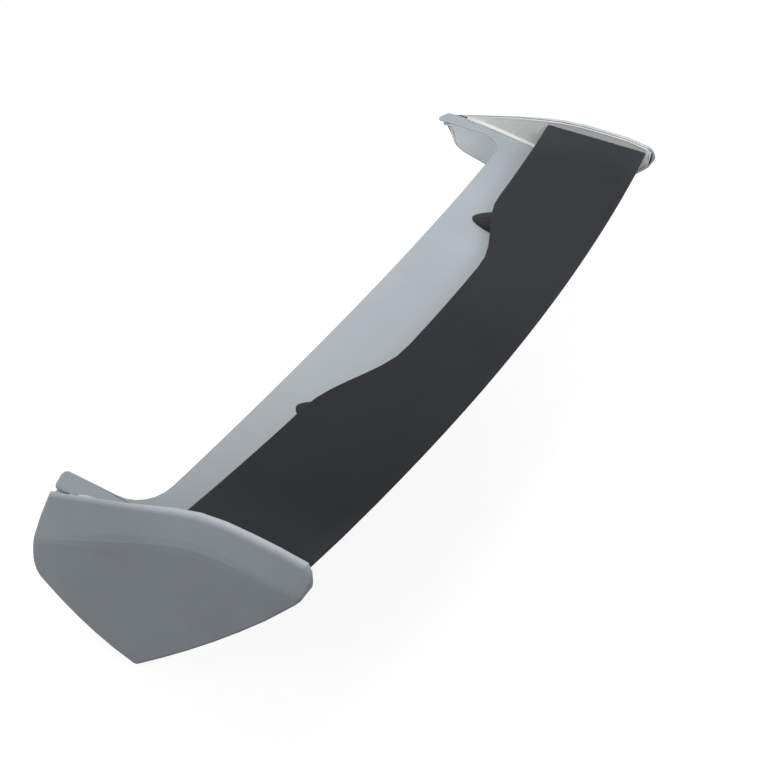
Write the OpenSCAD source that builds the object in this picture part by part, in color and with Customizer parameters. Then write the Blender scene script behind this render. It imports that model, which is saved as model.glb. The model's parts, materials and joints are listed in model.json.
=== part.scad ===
// Two-deck rear roof spoiler: a primed base panel with forward horns, a satin blade over an air slot,
// two struts, and hollow end plates that hang down beside the rear window.
// X runs across the car, Y forward, Z up. The origin is the centre of the four mounting studs,
// in the plane of the seals' lower faces, where the tailgate meets them.

/* [Base panel] */
// Front edge ahead of the stud centre, on the centreline
base_front_y = 80; // [72:1:90]
// Height of the front edge over the stud seats, on the centreline
base_front_z = 42.5; // [38:0.5:48]
// How far the front edge sweeps forward from the centreline to the sides
base_sweep = 35.6; // [20:0.2:44]
// How far the panel drops from the centreline to the sides
base_crown = 28.7; // [20:0.1:32]
// Half width of the base panel
base_half = 536; // [534:1:537]
// Fall of the panel towards the rear, in degrees
base_fall = 3; // [1:0.5:5]
// Rear edge of the base panel, on the centreline
base_rear_y = -106; // [-112:1:-98]
// How far the rear edge sweeps forward from the centreline to the sides
base_rear_sweep = 11.5; // [6:0.5:14]
// Wall thickness of the base panel
base_wall = 3; // [2.5:0.5:3.5]
// Depth of the turned-down edge at the front and round the horns
base_rim = 5; // [4.5:0.5:7]
// Depth of the turned-down edge at the rear
rear_rim = 16; // [12:1:18]
// Edge radius of the base panel
base_edge_r = 2.5; // [1:0.5:3]

/* [Horns] */
// Tip of the horns ahead of the stud centre
horn_tip_y = 256; // [240:1:260]
// How far the tip's outer corner lies behind its inner corner
horn_rake = 8; // [2:1:12]
// Seam between the horn's side and the end plate
horn_seam = 3; // [1.5:0.5:3]
// Width of the horns at their tips
horn_width = 30; // [26:1:36]
// How much narrower the bay is at its root than at the tips
horn_draft = 1.5; // [0.5:0.5:3]
// Drop of the horn tips under the line of the panel
horn_droop = 9.75; // [6:0.25:12]
// Radius of the bay corner between horn and front edge
bay_radius = 55; // [40:1:60]
// Where the bay corner begins, inboard of the horn
bay_reach = 76; // [70:1:90]
// Corner radius of the horn tips
horn_corner_r = 7; // [4:1:9]

/* [Underpanel] */
// Depth of the hollow between base panel and underpanel
hollow_depth = 16; // [13:1:18]
// Wall thickness of the underpanel
under_wall = 2.5; // [2:0.5:3]
// Margin between the base panel's edge and the underpanel
under_margin = 7; // [6:1:10]
// How far the underpanel's ends lie inboard of the base panel's sides
under_inset = 38; // [37:1:50]
// Height of the stiffening ribs under the underpanel
under_rib_h = 4; // [2:0.5:4]
// Thickness of the stiffening ribs
under_rib_t = 2.4; // [1.8:0.2:3]
// Spacing of the cross ribs
under_rib_pitch = 60; // [50:5:80]

/* [Blade] */
// Foremost point of the blade's nose on the centreline
blade_front_y = -52; // [-60:1:-45]
// Forward sweep of the nose from the centreline to the sides
blade_sweep = 43.7; // [25:0.1:55]
// How much further forward the outer parts of the nose are than the waist
blade_step = 48.5; // [30:0.5:60]
// Half width at which the waist ends
step_in = 113; // [90:1:130]
// Half width at which the full chord begins
step_out = 279; // [250:1:300]
// Height of the nose centre on the centreline
nose_z = 72; // [68:0.5:76]
// Drop of the nose from the centreline to the sides
nose_crown = 8; // [4:0.5:12]
// Nose radius
nose_r = 8; // [6:0.5:9]
// Trailing edge on the centreline
trail_y = -191; // [-198:1:-184]
// Forward sweep of the trailing edge from the centreline to the sides
trail_sweep = 40.8; // [25:0.1:50]
// Height of the trailing edge on the centreline
trail_z = 86; // [82:0.5:90]
// Drop of the trailing edge from the centreline to the sides
trail_crown = 2.3; // [0:0.1:6]
// Height of the rear face
trail_h = 6; // [5.5:0.5:8]
// Rise of the kicked-up rear lip
trail_kick = 2; // [0:0.5:4]
// Arch of the upper surface
blade_arch = 2.5; // [0:0.5:5]
// Belly of the lower surface
blade_belly = 5; // [3:0.5:7]
// Wall thickness of the blade skins
blade_wall = 2.2; // [1.8:0.1:2.4]
// Depth of the folded lip under the rear face
lip_depth = 12; // [8:1:16]
// Joint between the blade's upper and lower skins
skin_joint = 1; // [0.8:0.1:1.5]
// Gap between the blade's ends and the plate walls
blade_end_gap = 1; // [0.6:0.1:1.6]

/* [End plates] */
// Height of the level part of the top edge
plate_top_z = 100; // [96:1:104]
// Slope of the front part of the top edge, in degrees
plate_ramp = 20.5; // [18:0.5:23]
// Place where the top edge bends
plate_bend_y = -6; // [-15:1:5]
// Softness of that bend
plate_bend_w = 45; // [30:1:60]
// Front edge at the top corner
plate_front_top_y = 252; // [247:1:254]
// Chin, where the lines of the front edge and the lower edge would meet, along the car
plate_front_y = 252; // [248:1:256]
// Chin, height
plate_chin_z = -106; // [-112:1:-98]
// How much the front and lower front edges bulge out between their corners
plate_bow = 6.4; // [4:0.2:8]
// How much the lower rear edge bulges out between its corners
plate_rear_bow = 6.4; // [3:0.2:9]
// Radius of the lower front corner
plate_chin_r = 34; // [20:1:40]
// Lower rear corner, along the car
plate_heel_y = 60; // [54:1:66]
// Lower rear corner, height
plate_heel_z = -153.5; // [-160:0.5:-148]
// Radius of the lower rear corner
plate_heel_r = 10; // [8:1:14]
// Rearmost face
plate_tail_y = -165.5; // [-172:0.5:-160]
// Height at which the slanted edge meets the rear face
plate_tail_z = 56.5; // [52:0.5:60]
// Radius of the rear corners
plate_tail_r = 29; // [20:1:30]
// How far the crease lies outboard of the base panel's sides, in the rear part
crease_out = 4; // [1:1:9]
// Toe-out of the front part, in degrees
plate_toe = 10.2; // [8:0.2:12]
// Softness of the bend between rear and front part
plate_toe_w = 40; // [25:1:60]
// Lean of the band over the crease, in degrees from upright
band_lean = 35; // [30:1:38]
// Flare of the face under the crease, in degrees from upright
face_flare = 22; // [16:1:26]
// Height of the band in the rear part
band_h = 36; // [32:1:40]
// How much the band widens per millimetre further forward
band_growth = 0.12; // [0.08:0.01:0.14]
// Place where the band begins to widen
band_growth_y = 60; // [40:1:80]
// Radius of the crease
crease_r = 5; // [2:1:8]
// Tuck of the rear end towards the blade
tail_tuck = 7; // [4:1:8]
// Wall thickness of the outer skin
plate_wall_t = 2.5; // [2:0.1:2.8]
// Depth of the rim that turns inward round the outer skin
plate_rim = 14; // [13:1:18]
// Edge radius of the outer skin
plate_edge_r = 3.6; // [2.6:0.2:3.8]

/* [Plate walls and liners] */
// How far the feet of the plate walls lie inboard of the base panel's sides, in the rear part
wall_inset = 19; // [18:0.5:20]
// How much the walls spread per millimetre further forward
wall_spread = 0.083; // [0.08:0.001:0.086]
// Place where the walls begin to spread
wall_spread_y = 20; // [10:1:30]
// Width of the plate's top edge outboard of the wall, in the rear part
top_band = 10.5; // [9:0.5:12]
// Width of the plate's top edge near the horns
top_band_front = 5.4; // [5.2:0.1:7]
// Thickness of walls and liners
liner_t = 2.2; // [1.8:0.1:2.4]
// Width of the foot flange on the blade side
foot_in = 5.5; // [4:0.5:7]
// Width of the foot flange inside the plate
foot_out = 11; // [10:0.5:12]
// Thickness of the foot flange
foot_t = 3; // [2.5:0.5:4]

/* [Struts] */
// Half distance between the struts
strut_x = 256; // [245:1:270]
// Nose of the struts
strut_nose_y = 41; // [36:1:44]
// Length of the rounded front part
strut_front_len = 60; // [50:1:66]
// Length of the tapered tail
strut_tail_len = 72; // [60:1:76]
// Half width of the struts
strut_half_w = 22; // [18:1:24]
// Slope of the ridge over the nose, in degrees
strut_ridge = 26; // [20:1:32]
// First strut bolt behind the strut's nose
strut_bolt_back = 68; // [66:1:70]
// Distance between the two bolts of a strut
strut_bolt_gap = 40; // [34:1:42]

/* [Mounting] */
// Distance between the left and right studs
stud_span = 600; // [560:10:640]
// Distance between the front and rear studs
stud_row = 90; // [80:2:96]
// Stud diameter
stud_d = 6; // [5:1:6]
// Free length of the studs under the seals
stud_len = 28; // [20:1:35]
// Diameter of the studs' roots, in the seals and inserts
stud_root_d = 7; // [6.6:0.2:8]
// Diameter of the stud bosses
boss_d = 22; // [20:1:26]
// Thickness of the rubber seals round the studs
seal_t = 3; // [2:0.5:4]
// Width of the foam strip along the front edge
strip_w = 12; // [8:1:14]
// Thickness of the foam strip
strip_t = 8; // [5:1:10]
// Front locating pin, along the car
pin_front_y = 140; // [130:1:150]
// Front locating pin, height
pin_front_z = -85; // [-92:1:-75]
// Rear locating pin, along the car
pin_rear_y = 50; // [40:1:60]
// Rear locating pin, height
pin_rear_z = -105; // [-112:1:-95]
// Diameter of the locating pins on the liners
pin_d = 8; // [7:0.5:9]
// Free length of the locating pins
pin_len = 14; // [10:1:16]

/* [Fasteners] */
// Strut bolt diameter
bolt_d = 5; // [4:1:5]
// Screw diameter
screw_d = 4; // [3.5:0.5:4]
// First blade screw behind the centre of the blade's nose
rib_screw_back = 7; // [5:1:12]
// Distance between the blade screws of one end
rib_screw_gap = 88; // [70:1:95]
// Foremost wall screw
wall_screw_front_y = 100; // [80:1:110]
// Distance between the wall screws
wall_screw_gap = 70; // [50:1:70]
// Distance of the liner screws from the plate's lower edge
liner_screw_in = 24; // [20:1:30]
// Distance of the last underpanel screw from the underpanel's end
under_screw_in = 98; // [90:1:120]
// Running clearance round a screw or bolt
hole_gap = 0.3; // [0.2:0.1:0.5]
// Gap between pieces that seat on each other
seat = 0.3; // [0.2:0.05:0.3]
// Gap between the base panel's turned-down edge and the liners under it
under_gap = 1; // [0.8:0.1:1.5]

/* [Hidden] */

round_fn = 32;

// Smooth ramp: 0 far below zero, t far above it, rounded over the width w
function ramp(t, w) = (t + sqrt(t * t + w * w)) / 2;
function lerp(a, b, t) = a + (b - a) * t;
function clamp(t) = min(1, max(0, t));
function s_curve(t) = let(c = clamp(t)) c * c * (3 - 2 * c);
function outboard(x) = pow(x / base_half, 2);
function unit(v) = v / norm(v);
function right_of(v) = [v[1], -v[0]];

// Chains are lists of 2-D points. A positive shift moves a chain to the right of its travel.
function shift_point(a, p, b, e) =
  let(n1 = right_of(unit(p - a)), n2 = right_of(unit(b - p)), m = unit(n1 + n2))
  p + m * e / (m * n1);
function shift_chain(c, e, before, after) =
  let(last = len(c) - 1)
  [for (i = [0 : last])
    shift_point(i == 0 ? before : c[i - 1], c[i], i == last ? after : c[i + 1], e)];
// Arc of radius r that rounds the corner at b between the lines to a and to c
function fillet(a, b, c, r, n) =
  let(u = unit(a - b), v = unit(c - b),
      half = acos(u * v) / 2,
      centre = b + unit(u + v) * r / sin(half),
      p = b + u * r / tan(half), q = b + v * r / tan(half),
      a0 = atan2(p[1] - centre[1], p[0] - centre[0]),
      a1 = atan2(q[1] - centre[1], q[0] - centre[0]),
      turn = a1 - a0 > 180 ? a1 - a0 - 360 : a1 - a0 < -180 ? a1 - a0 + 360 : a1 - a0)
  [for (k = [0 : n]) centre + r * [cos(a0 + turn * k / n), sin(a0 + turn * k / n)]];
function bulge(t) = 4 * t * (1 - t);
function bowed(a, b, bow, n) =
  let(out = right_of(unit(a - b)) * bow)
  [for (k = [1 : n]) lerp(a, b, k / (n + 1)) + out * bulge(k / (n + 1))];
function lengths(c) = [for (i = 0, s = 0; i < len(c); i = i + 1,
  s = s + (i < len(c) ? norm(c[i] - c[i - 1]) : 0)) s];
function fractions(c) = let(s = lengths(c), total = s[len(s) - 1]) [for (t = s) t / total];
// Point at the share t of a chain's length
function along(c, t) =
  let(f = fractions(c))
  [lookup(t, [for (i = [0 : len(c) - 1]) [f[i], c[i][0]]]),
   lookup(t, [for (i = [0 : len(c) - 1]) [f[i], c[i][1]]])];

// Perimeter of a grid of points, in order
function perimeter(g) =
  let(n = len(g) - 1, m = len(g[0]) - 1)
  concat([for (i = [0 : n]) g[i][0]],
         [for (j = [1 : m]) g[n][j]],
         [for (i = [n - 1 : -1 : 0]) g[i][m]],
         [for (j = [m - 1 : -1 : 1]) g[0][j]]);
function flat_list(g) = [for (row = g) for (p = row) p];
function quads(a, b, c, d) = [[a, b, c], [a, c, d]];

// Closed shell between the face grids p and q, joined round their edges through the given loops
module shell(p, loops, q) {
  n = len(p);
  m = len(p[0]);
  ring = 2 * n + 2 * m - 4;
  start_q = n * m + len(loops) * ring;
  index_p = perimeter([for (i = [0 : n - 1]) [for (j = [0 : m - 1]) i * m + j]]);
  index_q = perimeter([for (i = [0 : n - 1]) [for (j = [0 : m - 1]) start_q + i * m + j]]);
  index_loops = [for (k = [0 : 1 : len(loops) - 1]) [for (r = [0 : ring - 1]) n * m + k * ring + r]];
  rings = concat([index_p], index_loops, [index_q]);
  face_p = [for (i = [0 : n - 2]) for (j = [0 : m - 2])
    each quads(i * m + j, i * m + j + 1, (i + 1) * m + j + 1, (i + 1) * m + j)];
  face_q = [for (i = [0 : n - 2]) for (j = [0 : m - 2])
    each quads(start_q + i * m + j, start_q + (i + 1) * m + j,
               start_q + (i + 1) * m + j + 1, start_q + i * m + j + 1)];
  bands = [for (k = [0 : len(rings) - 2]) for (r = [0 : ring - 1])
    let(s = (r + 1) % ring)
    each quads(rings[k][r], rings[k][s], rings[k + 1][s], rings[k + 1][r])];
  polyhedron(concat(flat_list(p), flat_list(loops), flat_list(q)), concat(face_p, face_q, bands));
}

// Closed solid through flat sections with the same number of points each
module loft(sections) {
  n = len(sections);
  m = len(sections[0]);
  sides = [for (i = [0 : n - 2]) for (j = [0 : m - 1])
    let(k = (j + 1) % m)
    each quads(i * m + j, i * m + k, (i + 1) * m + k, (i + 1) * m + j)];
  polyhedron(flat_list(sections),
             concat([[for (j = [m - 1 : -1 : 0]) j]], sides, [[for (j = [0 : m - 1]) (n - 1) * m + j]]));
}

// Base panel: plan outline and surface

function base_front(x) = base_front_y + base_sweep * outboard(x);
function base_rear(x) = base_rear_y + base_rear_sweep * outboard(x);
function base_top(x, y) =
  let(ahead = y - base_front(x), reach = horn_tip_y - base_front(horn_inner))
  base_front_z - base_crown * outboard(x) + tan(base_fall) * ahead
  - (ahead > 0 ? horn_droop * pow(ahead / reach, 2) : 0);

horn_inner = base_half - horn_width;
bay_start_x = horn_inner - bay_reach;
front_stations = [for (k = [1 : 6]) bay_start_x * k / 6.6];
bay_start = [bay_start_x, base_front(bay_start_x)];
bay_corner = [horn_inner - horn_draft, base_front(horn_inner)];
tip_inner = [horn_inner, horn_tip_y];
tip_outer = [base_half, horn_tip_y - horn_rake];
half_front = concat(
  [for (x = front_stations) [x, base_front(x)]],
  [bay_start],
  fillet(bay_start, bay_corner, tip_inner, bay_radius, 6),
  fillet(bay_corner, tip_inner, tip_outer, horn_corner_r, 2),
  fillet(tip_inner, tip_outer, [base_half, 0], horn_corner_r, 2));
front_chain = concat(
  [for (i = [len(half_front) - 1 : -1 : 0]) [-half_front[i][0], half_front[i][1]]],
  [[0, base_front_y]],
  half_front);
base_rows = [0, 0.06, 0.22, 0.45, 0.7, 0.96, 1];

function base_edge(e) = shift_chain(front_chain, e, [-base_half, 0], [base_half, 0]);
function rim_depth(x, y) = y < base_rear(x) + 8 ? rear_rim : base_rim;
// Grid of the base panel, pulled in by e from its edge and lowered by drop
function base_grid(e, drop) =
  [for (p = base_edge(e)) [for (v = base_rows)
    let(y = lerp(p[1], base_rear(p[0]) + e, v)) [p[0], y, base_top(p[0], y) - drop]]];
function sink(loop, drop) = [for (p = loop) [p[0], p[1], p[2] - drop]];
function sink_to_rim(loop) = [for (p = loop) [p[0], p[1], p[2] - rim_depth(p[0], p[1])]];

// Blade: nose, trailing edge and section

function nose_y(x) =
  blade_front_y - nose_r + blade_sweep * outboard(x)
  + blade_step * s_curve((abs(x) - step_in) / (step_out - step_in));
function nose_height(x) = nose_z - nose_crown * outboard(x);
function tail_y(x) = trail_y + trail_sweep * outboard(x);
function tail_z(x) = trail_z - trail_crown * outboard(x);
function blade_v(x, y) = (nose_y(x) - y) / (nose_y(x) - tail_y(x));
function blade_top(x, v) =
  lerp(nose_height(x) + nose_r, tail_z(x) - trail_kick, v) + blade_arch * sin(180 * v)
  + trail_kick * pow(v, 8);
function blade_bottom(x, v) =
  v <= 0 ? nose_height(x) - nose_r
  : lerp(nose_height(x) - nose_r, tail_z(x) - trail_h, v) - blade_belly * sin(180 * pow(v, 0.75));
nose_angles = [-80, -50, -20, 10, 40, 65, 90];
top_rows = [0.12, 0.3, 0.5, 0.7, 0.86, 0.95];
lip_r = 0.9;
function lip_y(x) = tail_y(x) + lip_depth;
function upper_chain(x) = concat(
  [for (a = nose_angles) [nose_y(x) + nose_r * cos(a), nose_height(x) + nose_r * sin(a)]],
  [for (v = top_rows) [lerp(nose_y(x), tail_y(x), v), blade_top(x, v)]],
  [[tail_y(x) + lip_r, tail_z(x)],
   [tail_y(x), tail_z(x) - lip_r],
   [tail_y(x) + lip_r, tail_z(x) - trail_h],
   [lip_y(x), blade_bottom(x, blade_v(x, lip_y(x)))]]);
function lower_chain(x) =
  let(front = nose_y(x) + nose_r * cos(nose_angles[0]) - skin_joint, back = lip_y(x) + skin_joint)
  [for (k = [0 : 6]) let(y = lerp(front, back, k / 6)) [y, blade_bottom(x, blade_v(x, y))]];
blade_stations = [0, 0.11, 0.2, 0.26, 0.31, 0.36, 0.41, 0.46, 0.51, 0.56, 0.64, 0.74, 0.87, 1];
blade_shares = concat([for (i = [len(blade_stations) - 1 : -1 : 1]) -blade_stations[i]], blade_stations);
// Grid of a blade skin: each chain point is carried out to its share of the way to the plate wall
function blade_grid(chains, shares, gap) =
  [for (i = [0 : len(shares) - 1]) [for (p = chains[i])
    [shares[i] * (wall_face(p[0], p[1]) - gap), p[0], p[1]]]];
function far_end(c, extra) = let(n = len(c) - 1) c[n] + unit(c[n] - c[n - 1]) * extra;
function near_end(c, extra) = c[0] + unit(c[0] - c[1]) * extra;
function thicken(c, e) = shift_chain(c, e, near_end(c, 5), far_end(c, 5));

// End plates: surface, side outline and ribs

function plate_top(y) =
  plate_top_z - tan(plate_ramp) * ramp(y - plate_bend_y, plate_bend_w);
function band_height(y) = band_h + band_growth * ramp(y - band_growth_y, plate_toe_w);
function crease_z(y) = plate_top(y) - band_height(y);
function crease_x(y) = base_half + crease_out + tan(plate_toe) * ramp(y, plate_toe_w);
tuck_start = plate_tail_y + 38;
function plate_face(y, z) =
  let(d = z - crease_z(y), a = tan(face_flare), b = tan(band_lean))
  crease_x(y) - (a + b) / 2 * d - (b - a) / 2 * (sqrt(d * d + crease_r * crease_r) - crease_r)
  - tail_tuck * pow(max(0, tuck_start - y) / (tuck_start - plate_tail_y), 2);

chin = [plate_front_y, plate_chin_z];
heel = [plate_heel_y, plate_heel_z];
tail_low = [plate_tail_y, plate_tail_z];
tail_high = [plate_tail_y, plate_top(plate_tail_y)];
front_top = [plate_front_top_y, plate_top(plate_front_top_y)];
// The front edge is a curve from the top corner to the chin's arc that leans towards this point
front_knee = lerp(front_top, chin, 0.5) + [2 * plate_bow, 0];
chin_arc = fillet(front_knee, chin, heel, plate_chin_r, 4);
knee_out = front_knee - (front_top + chin_arc[0]) / 2;
heel_arc = fillet(chin, heel, tail_low, plate_heel_r, 3);
tail_low_arc = fillet(heel, tail_low, tail_high, plate_tail_r, 3);
bottom_chain = concat(
  chin_arc,
  bowed(chin_arc[4], heel_arc[0], plate_bow, 4),
  heel_arc,
  bowed(heel_arc[3], tail_low_arc[0], plate_rear_bow, 5),
  tail_low_arc);
top_corner = [plate_tail_y, plate_top(plate_tail_y + plate_tail_r)];
tail_high_arc = fillet([plate_tail_y + 2 * plate_tail_r, top_corner[1]], top_corner, tail_low,
                       plate_tail_r * 0.7, 3);
top_curve = concat(
  [front_top],
  [for (y = [220 : -20 : -140]) [y, plate_top(y)]],
  tail_high_arc);
front_ribs = 5;
bottom_shares = fractions(bottom_chain);
top_chain = [for (t = bottom_shares) along(top_curve, t)];
last_rib = len(bottom_chain) - 1;
function top_edge(e) = shift_chain(top_chain, -e, front_knee, bottom_chain[last_rib]);
function bottom_edge(e) = shift_chain(bottom_chain, e, front_knee, top_chain[last_rib]);

// Shares of a rib at which its points lie, gathered round the crease
function rib_rows(a, b) =
  let(c = min(0.6, max(0.12, (a[1] - crease_z(a[0])) / (a[1] - b[1]))), w = min(0.05, c / 4))
  [0, c / 2, c - w, c, c + w, lerp(c, 1, 0.35), lerp(c, 1, 0.68), 1];
function plate_grid(e, drop) =
  let(t = top_edge(e), b = bottom_edge(e))
  [for (i = [0 : last_rib]) [for (s = rib_rows(t[i], b[i]))
    let(p = lerp(t[i], b[i], s) + knee_out * bulge(s) / 2 * max(0, 1 - i / front_ribs))
    [plate_face(p[0], p[1]) - drop, p[0], p[1]]]];
// The rim ends flush with the plate wall above the base panel, and at its own depth below it
function rim_end(y, z) =
  let(above = s_curve((z - wall_root_z(y) + 25) / 30), face = plate_face(y, z))
  min(face - plate_edge_r - seat,
      max(lerp(face - plate_rim, wall_face(y, z), above),
          base_half + horn_seam - seam_slope * max(0, horn_seam_y - y)));
function to_rim(loop) = [for (p = loop) [rim_end(p[1], p[2]), p[1], p[2]]];
function inward(loop, drop) = [for (p = loop) [p[0] - drop, p[1], p[2]]];

// Plate walls: the faces the blade ends against

function wall_root_x(y) = base_half - wall_inset + wall_spread * ramp(y - wall_spread_y, plate_toe_w);
function wall_root_z(y) = base_top(wall_root_x(y), max(y, base_rear(wall_root_x(y)))) + seat;
function wall_top_x(y) =
  plate_face(y, wall_top(y)) - lerp(top_band, top_band_front, s_curve((y - wall_spread_y) / 140));
wall_min_h = 6;
wall_top_chain = top_edge(plate_wall_t + seat);
wall_low_chain = bottom_edge(plate_wall_t + seat);
function wall_top(y) = lookup(y, [for (p = wall_top_chain) [p[0], p[1]]]);
function rim_floor(y) = lookup(y, [for (p = wall_low_chain) [p[0], p[1]]]);
function wall_face(y, z) =
  lerp(wall_top_x(y), wall_root_x(y),
       clamp((wall_top(y) - z) / max(wall_min_h, wall_top(y) - wall_root_z(y))));
function foot_z(x, y) = max(base_top(x, max(y, base_rear(x))) + seat, rim_floor(y));
function wall_floor(y) = foot_z(wall_root_x(y), y);
// Half width of the blade at its ends, for what lies along it
blade_half = wall_face(blade_front_y, nose_z);
// From here forward the horn's side lies against the rim of the plate
horn_contact = 43;
seam_slope = 0.4;
horn_seam_y = plate_front_top_y - horn_contact;
wall_front_gap = 3;
wall_back_gap = 3;
wall_front_y = horn_seam_y - wall_front_gap;
wall_back_y = plate_tail_y + plate_wall_t + wall_back_gap;
wall_stations = [for (s = [0, 0.03, 0.09, 0.19, 0.28, 0.38, 0.46, 0.54, 0.65, 0.75, 0.825, 0.85, 0.885,
                           0.925, 0.96, 0.985, 1]) lerp(wall_front_y, wall_back_y, s)];

function wall_visible(y) =
  let(zb = wall_floor(y), zt = wall_top(y), k = min(1, (zt - zb) / (3 * foot_t)),
      root = wall_face(y, zb), inner = root - foot_in)
  [[inner, y, foot_z(inner, y)],
   [inner, y, foot_z(inner, y) + 0.65 * foot_t * k],
   [inner + 1, y, zb + foot_t * k],
   [root - 1.5, y, zb + foot_t * k],
   [wall_face(y, zb + 1.6 * foot_t * k), y, zb + 1.6 * foot_t * k],
   [wall_top_x(y), y, zt]];
function wall_hidden(y) =
  let(zb = wall_floor(y), zt = wall_top(y), k = min(1, (zt - zb) / (3 * foot_t)),
      heel_x = wall_face(y, zb + foot_t * k) + liner_t + 1,
      outer = max(min(wall_face(y, zb) + foot_out, base_half), heel_x + 0.5))
  [[outer, y, foot_z(outer, y)],
   [outer, y, foot_z(outer, y) + 0.8 * foot_t * k],
   [heel_x, y, zb + 0.8 * foot_t * k],
   [wall_face(y, zb + 0.95 * foot_t * k) + liner_t, y, zb + 0.95 * foot_t * k],
   [wall_face(y, zb + 1.6 * foot_t * k) + liner_t, y, zb + 1.6 * foot_t * k],
   [wall_top_x(y) + liner_t, y, zt]];

// Liners: the lower inner faces of the plates, with a flange under the base panel

liner_in = horn_inner + under_gap;
function liner_flange(x, y) = min(base_top(x, y) - base_rim - under_gap, wall_top(y));
liner_back_in = 28;
liner_back_y = base_rear_y + liner_back_in;
liner_low = concat([for (p = wall_low_chain) if (p[0] > liner_back_y + 10) p],
                   [[liner_back_y, rim_floor(liner_back_y)]]);
liner_top_line = [[plate_front_top_y - 4, 0], [liner_low[len(liner_low) - 1][0], 0]];
liner_ribs = len(liner_low) - 1;
liner_shares = fractions(liner_low);
function liner_top_point(i) =
  let(y = lerp(liner_top_line[0][0], liner_top_line[1][0], liner_shares[i])) [y, liner_flange(base_half, y)];
function liner_x(y, z) = rim_end(y, z);
liner_rows = [0, 0.25, 0.5, 0.75, 1];
liner_tip_in = 12;
function liner_inner(i) = liner_in + (i == 0 ? liner_tip_in : 0);
function liner_visible(i) =
  let(a = liner_top_point(i), b = liner_low[i], corner = [a[0], a[1] - liner_t - 2])
  concat(
    [[liner_inner(i), a[0], liner_flange(liner_inner(i), a[0]) - liner_t],
     [liner_x(corner[0], corner[1]) - 2, a[0], a[1] - liner_t]],
    [for (s = liner_rows) let(p = lerp(corner, b, s)) [liner_x(p[0], p[1]), p[0], p[1]]]);
function liner_hidden(i) =
  let(a = liner_top_point(i), b = liner_low[i], corner = [a[0], a[1] - 2])
  concat(
    [[liner_inner(i), a[0], liner_flange(liner_inner(i), a[0])],
     [liner_x(corner[0], corner[1]) + liner_t - 2, a[0], a[1]]],
    [for (s = liner_rows) let(p = lerp(corner, b, s)) [liner_x(p[0], p[1]) + liner_t, p[0], p[1]]]);

// Places of the fasteners

stud_places = [for (sx = [-1, 1]) for (sy = [-1, 1]) [sx * stud_span / 2, sy * stud_row / 2]];
strut_bolt_ys = [strut_nose_y - strut_bolt_back, strut_nose_y - strut_bolt_back - strut_bolt_gap];
wall_screw_ys = [for (k = [0 : 2]) wall_screw_front_y - k * wall_screw_gap];
rib_screw_ys = [nose_y(blade_half) - rib_screw_back, nose_y(blade_half) - rib_screw_back - rib_screw_gap];
function liner_place(s) =
  let(low = along(liner_low, s), top = along(liner_top_line, s)) low + unit(top - low) * liner_screw_in;
liner_screw_places = [for (s = [0.3, 0.44, 0.66, 0.8, 0.93]) liner_place(s)];
pin_places = [[pin_front_y, pin_front_z], [pin_rear_y, pin_rear_z]];
under_half = base_half - under_inset;
under_screw_xs = [for (k = [-2 : 2]) k * (under_half - under_screw_in) / 2];
function under_screw_y(x) = base_rear(x) + under_margin + 23;
under_rib_count = floor((under_half - under_wall) / under_rib_pitch - 0.5);
under_rib_end = (under_rib_count + 0.5) * under_rib_pitch;

function wall_screw_x(y) = wall_face(y, wall_floor(y)) + liner_t + 4.5;
function under_floor(x, y) = base_top(x, y) - hollow_depth - under_wall;
function under_seat(x) =
  max([for (dx = [-1, 0, 1]) for (dy = [-1, 0, 1])
    under_floor(x + dx * screw_d, under_screw_y(x) + dy * screw_d)]) + under_wall + seat;
function rib_screw_z(y) =
  let(v = blade_v(blade_half, y)) (blade_top(blade_half, v) + blade_bottom(blade_half, v)) / 2;

insert_wall = 1.5;
insert_d = stud_root_d + 2 * insert_wall;
insert_len = 7;
blade_insert_d = bolt_d + 2 * insert_wall;
blade_insert_len = 8;
boss_wall = 3;
bolt_head_h = 4;
screw_head_h = 2.6;
screw_head_d = 2 * screw_d;
pad_h = 4;
pad_back = 2.4;

// Screw along +Z: its head hangs under z = 0, its shank rises by len
module screw(d, len, head_d, head_h) {
  translate([0, 0, -head_h])
    difference() {
      cylinder(h = head_h, d = head_d, $fn = round_fn);
      translate([0, 0, -1])
        cylinder(h = head_h * 0.6 + 1, d = d, $fn = 6);
    }
  cylinder(h = len, d = d, $fn = round_fn);
}

// Straight wall under the underpanel that follows its floor between two plan points
module under_rib(a, b, n) {
  dir = unit(b - a);
  side = right_of(dir) * under_rib_t / 2;
  sections = [for (k = [0 : n])
    let(p = lerp(a, b, k / n), top = under_floor(p[0], p[1]) + under_wall / 2)
    [[p[0] + side[0], p[1] + side[1], top],
     [p[0] - side[0], p[1] - side[1], top],
     [p[0] - side[0], p[1] - side[1], top - under_wall / 2 - under_rib_h],
     [p[0] + side[0], p[1] + side[1], top - under_wall / 2 - under_rib_h]]];
  loft(sections);
}

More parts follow.
